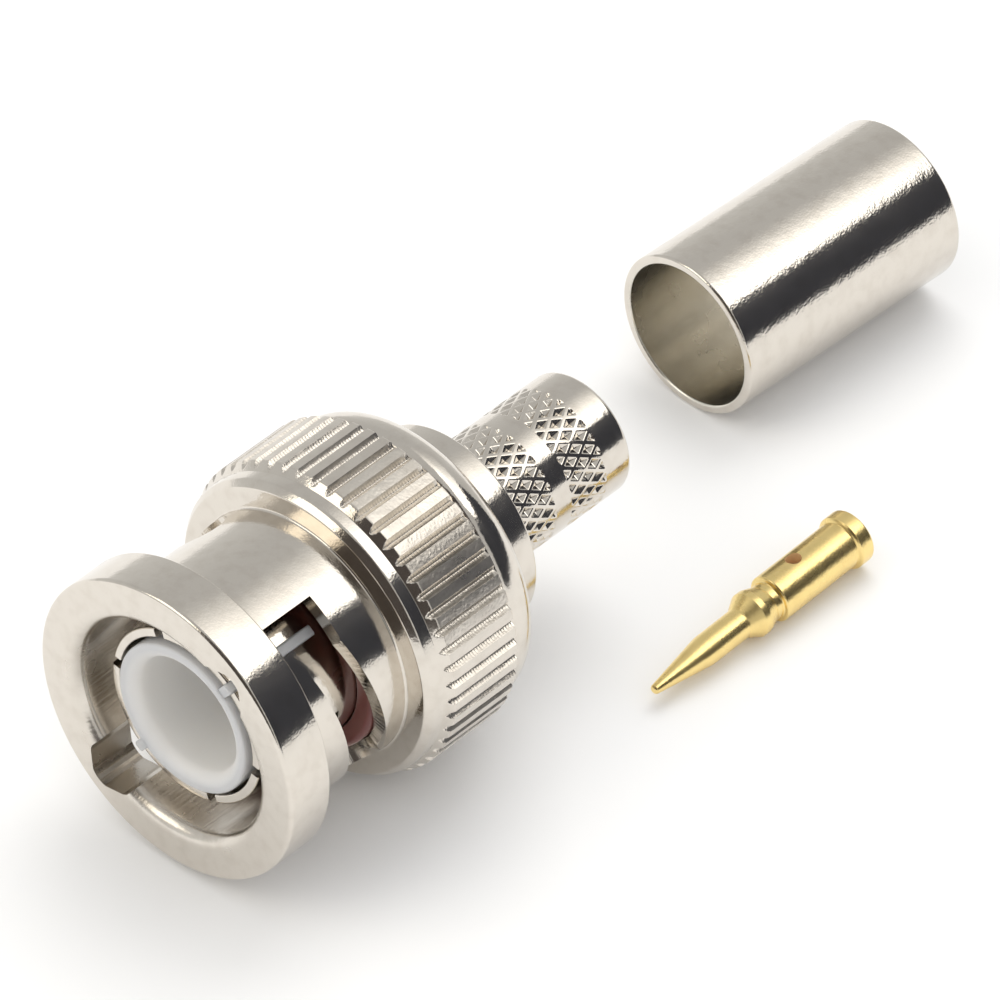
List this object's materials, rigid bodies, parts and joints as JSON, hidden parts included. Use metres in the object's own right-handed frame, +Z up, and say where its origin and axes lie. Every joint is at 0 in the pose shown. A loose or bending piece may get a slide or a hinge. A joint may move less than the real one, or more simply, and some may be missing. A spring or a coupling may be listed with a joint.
{
  "type": "bnc connector",
  "caption": "Crimp plug with a sprung bayonet coupling nut, straight and diamond knurls, a slotted outer contact, and its loose crimp ferrule and contact pin.",
  "frame": {"origin": "centre of the coupling nut's mating face, on the plug's axis", "axes": "+Y along the plug's axis towards the cable end, +Z up from the surface that the kit lies on"},
  "size_m": [0.0166, 0.0479, 0.0144],
  "materials": {
    "nickel_nut": "bright nickel plate on brass",
    "nickel_body": "bright nickel plate on brass",
    "nickel_ferrule": "bright nickel plate on brass",
    "spring_metal": "plain spring bronze",
    "gold": "gold plate on brass",
    "white_plastic": "satin, slightly translucent",
    "red_rubber": "satin silicone"
  },
  "bodies": {
    "plug": {"plug_body": "nickel_body", "insulator": "white_plastic", "gasket": "red_rubber", "wave_washer_front": "spring_metal", "wave_washer_rear": "spring_metal", "rear_bush": "nickel_body", "crimp_ferrule": "nickel_ferrule", "centre_pin": "gold"},
    "nut_carrier": {"slip_washer": "spring_metal"},
    "nut": {"coupling_nut": "nickel_nut"}
  },
  "joints": [
    {"name": "nut_pull", "type": "slide", "parent": "plug", "child": "nut_carrier", "axis": [0, -1, 0], "range_m": [0, 0.0005], "stiffness_N_per_m": 1500, "deforming": ["wave_washer_front", "wave_washer_rear"]},
    {"name": "nut_turn", "type": "hinge", "parent": "nut_carrier", "child": "nut", "pos_m": [0, 0.00995, 0], "axis": [0, 1, 0], "continuous": true}
  ]
}
